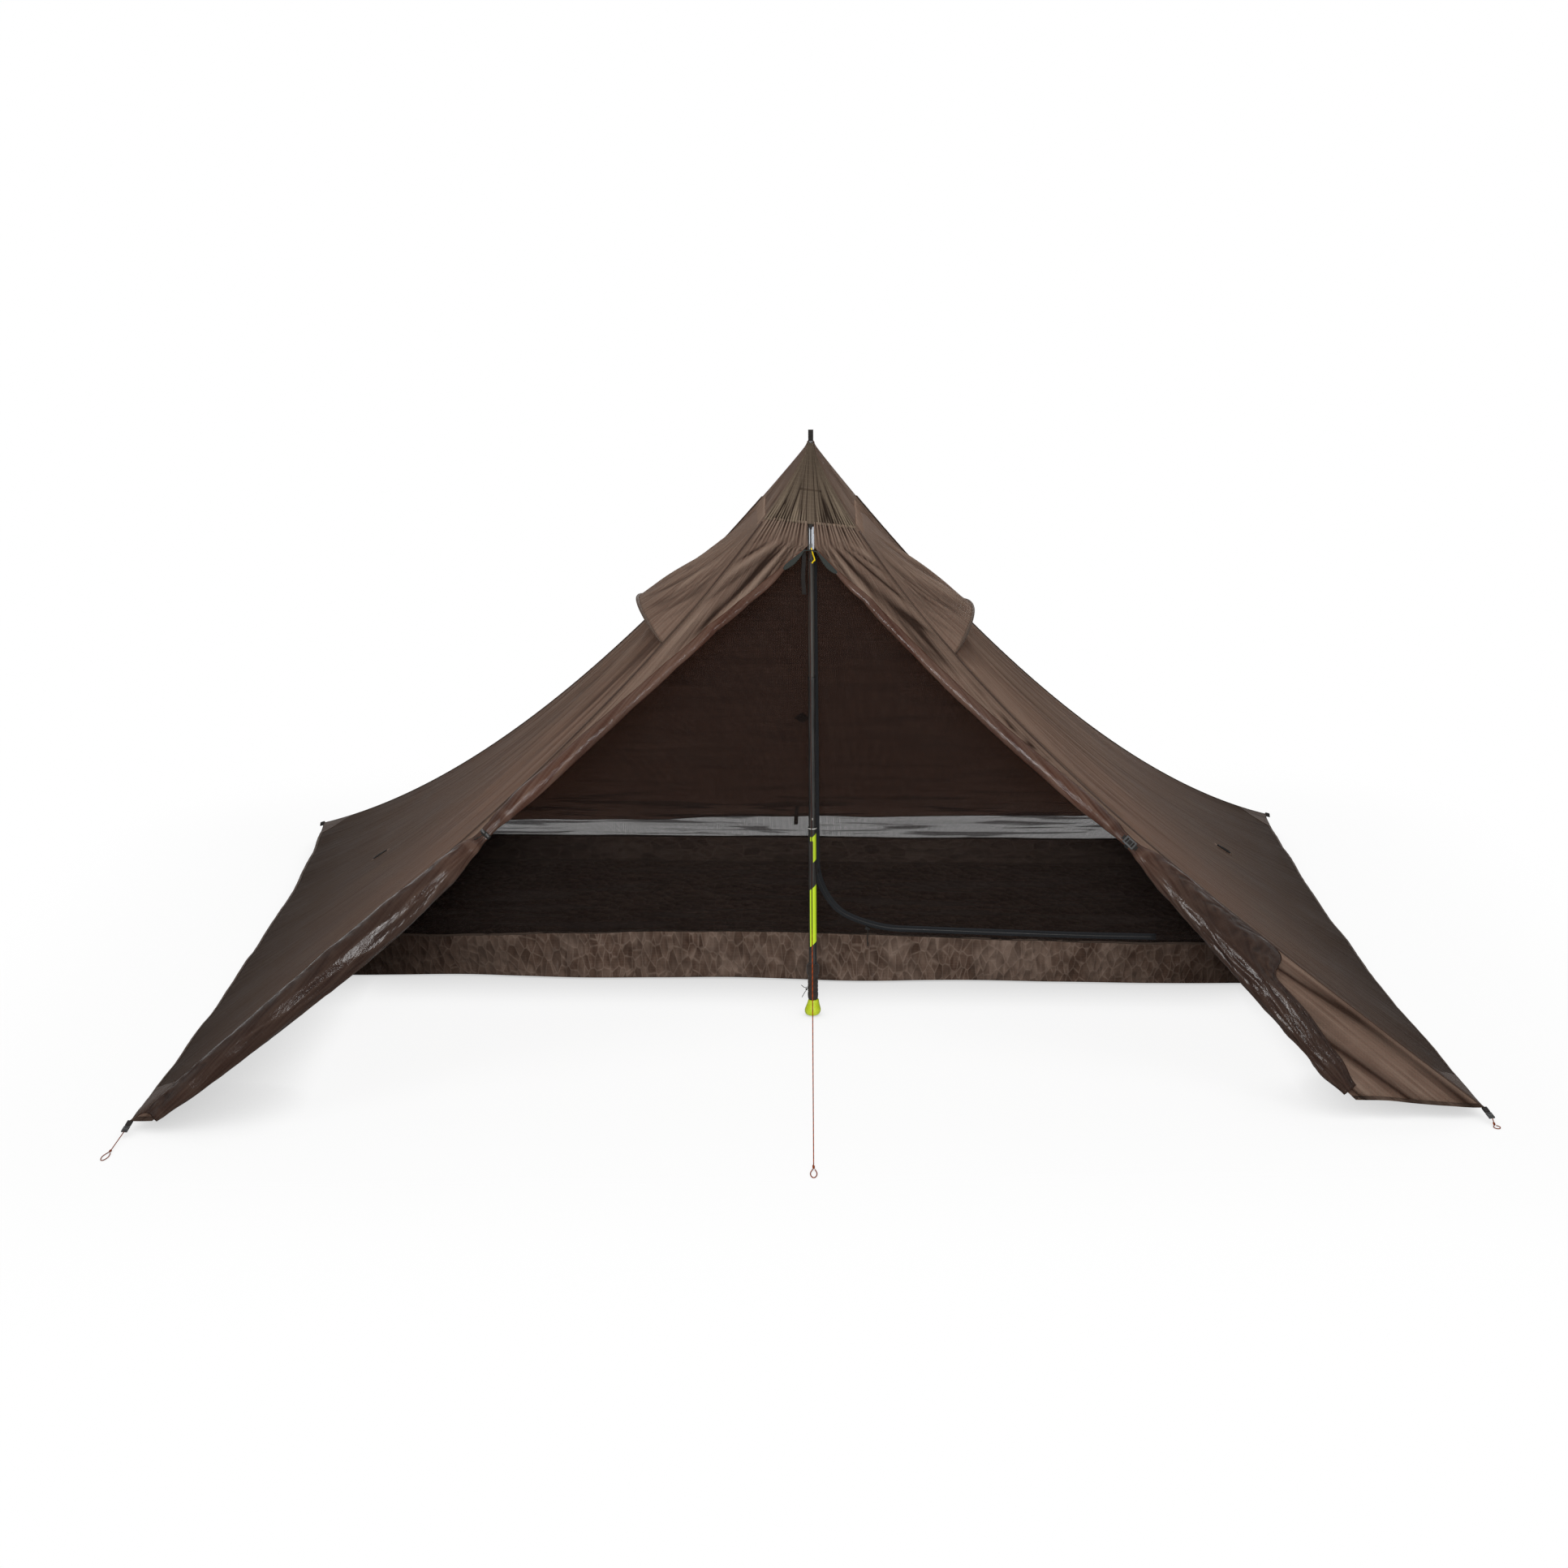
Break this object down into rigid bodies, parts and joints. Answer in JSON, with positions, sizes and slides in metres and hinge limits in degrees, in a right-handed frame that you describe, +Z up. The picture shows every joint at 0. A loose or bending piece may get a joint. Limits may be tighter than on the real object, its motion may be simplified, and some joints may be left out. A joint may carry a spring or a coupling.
{
  "type": "trekking pole tent",
  "caption": "Pyramid tent on one trekking pole, doors rolled back, net inner with tub floor, high vents, guy cord",
  "frame": {"origin": "foot of the pole: the middle of the flat end of its grip cap, on the ground", "axes": "+Z up along the pole, +X to the right seen from the doors, +Y from the doors to the back wall"},
  "size_m": [2.8294, 2.3104, 1.3532],
  "materials": {
    "fly_cloth": "matt coated woven cloth, grey-brown",
    "door_lining": "glossy coated side of the same cloth",
    "crown_cloth": "heavier woven reinforcement cloth",
    "tub_cloth": "coated floor cloth, crinkled, slightly glossy",
    "black_net": "fine black mosquito net",
    "black_webbing": "woven black webbing and binding",
    "black_plastic": "moulded black plastic",
    "zip_tape": "grey coated zip tape",
    "inner_zip_tape": "dark grey woven zip tape",
    "yellow_cord": "yellow pull cord",
    "orange_cord": "rust orange braided cord",
    "dark_cord": "thin dark cord",
    "lacquered_tube": "aluminium tube, black with lime bands",
    "anodised_black_tube": "black anodised aluminium tube, lightly worn",
    "white_plastic": "white plastic collar",
    "grip_foam": "closed-cell foam grip",
    "lime_plastic": "lime moulded grip cap",
    "steel_tip": "ground steel tip"
  },
  "bodies": {
    "canopy_and_handle": {"fly_left_panel": "fly_cloth", "fly_right_panel": "fly_cloth", "fly_back_panel": "fly_cloth", "fly_front_left_strip": "fly_cloth", "fly_front_right_strip": "fly_cloth", "vent_left_hood": "fly_cloth", "vent_right_hood": "fly_cloth", "crown_cone": "crown_cloth", "left_door_roll": "door_lining", "left_door_bundle": "door_lining", "right_door_roll": "door_lining", "right_door_bundle": "door_lining", "vent_left_net": "black_net", "vent_right_net": "black_net", "inner_front_net": "black_net", "inner_back_net": "black_net", "inner_left_net": "black_net", "inner_right_net": "black_net", "inner_tub_floor": "tub_cloth", "vent_left_brim": "black_webbing", "vent_right_brim": "black_webbing", "crown_cup": "black_webbing", "crown_pull_tab": "black_webbing", "left_door_tie": "black_webbing", "right_door_tie": "black_webbing", "left_side_loop": "black_webbing", "right_side_loop": "black_webbing", "back_wall_patch": "black_webbing", "back_hem_strap": "black_webbing", "back_left_corner_tab": "black_webbing", "back_right_corner_tab": "black_webbing", "front_left_corner_tab": "black_webbing", "front_right_corner_tab": "black_webbing", "inner_crown_strap": "black_webbing", "left_door_toggle": "black_plastic", "right_door_buckle": "black_plastic", "front_left_tensioner": "black_plastic", "front_right_tensioner": "black_plastic", "fly_zip_tape": "zip_tape", "inner_zip_tape": "inner_zip_tape", "grip_wrap_cord": "dark_cord", "front_guy_cord": "orange_cord", "front_left_corner_cord": "orange_cord", "front_right_corner_cord": "orange_cord", "pole_handle_tube": "lacquered_tube", "pole_handle_ring": "white_plastic", "pole_grip": "grip_foam", "pole_grip_cap": "lime_plastic"},
    "pole_middle": {"pole_middle_tube": "anodised_black_tube", "pole_middle_plug": "black_plastic", "pole_middle_ring": "black_plastic"},
    "pole_lower": {"pole_lower_tube": "anodised_black_tube", "pole_lower_plug": "black_plastic", "pole_tip": "steel_tip"},
    "zip_head": {"fly_zip_top_patch": "black_webbing", "crown_hanging_strap": "black_webbing"},
    "zip_slider": {"fly_zip_slider": "black_plastic"},
    "zip_pull": {"fly_zip_pull": "yellow_cord"},
    "inner_slider": {"inner_zip_slider": "black_plastic", "inner_zip_pull": "dark_cord"}
  },
  "joints": [
    {"name": "pole_middle_slide", "type": "slide", "parent": "canopy_and_handle", "child": "pole_middle", "axis": [0, 0, -1], "range_m": [0, 0.3]},
    {"name": "pole_lower_slide", "type": "slide", "parent": "pole_middle", "child": "pole_lower", "axis": [0, 0, -1], "range_m": [0, 0.3]},
    {"name": "zip_head_drop", "type": "slide", "parent": "canopy_and_handle", "child": "zip_head", "axis": [0, 0, -1], "range_m": [0, 0.497]},
    {"name": "fly_zip_slide", "type": "slide", "parent": "zip_head", "child": "zip_slider", "axis": [0.0111, 0.3065, 0.9518], "range_m": [0, 0.018]},
    {"name": "fly_zip_pull_swing", "type": "hinge", "parent": "zip_slider", "child": "zip_pull", "pos_m": [-0.00062, -0.06927, 1.10593], "axis": [1, 0, 0], "range_deg": [-110, 0]},
    {"name": "inner_zip_run", "type": "hinge", "parent": "canopy_and_handle", "child": "inner_slider", "pos_m": [0.212, 0.16386, 0.324], "axis": [0.0569, 0.9859, 0.1572], "range_deg": [-20, 62]}
  ],
  "couplings": [
    {"joint": "pole_lower_slide", "follows": "pole_middle_slide", "ratio": 1},
    {"joint": "zip_head_drop", "follows": "pole_middle_slide", "ratio": 1.653}
  ]
}
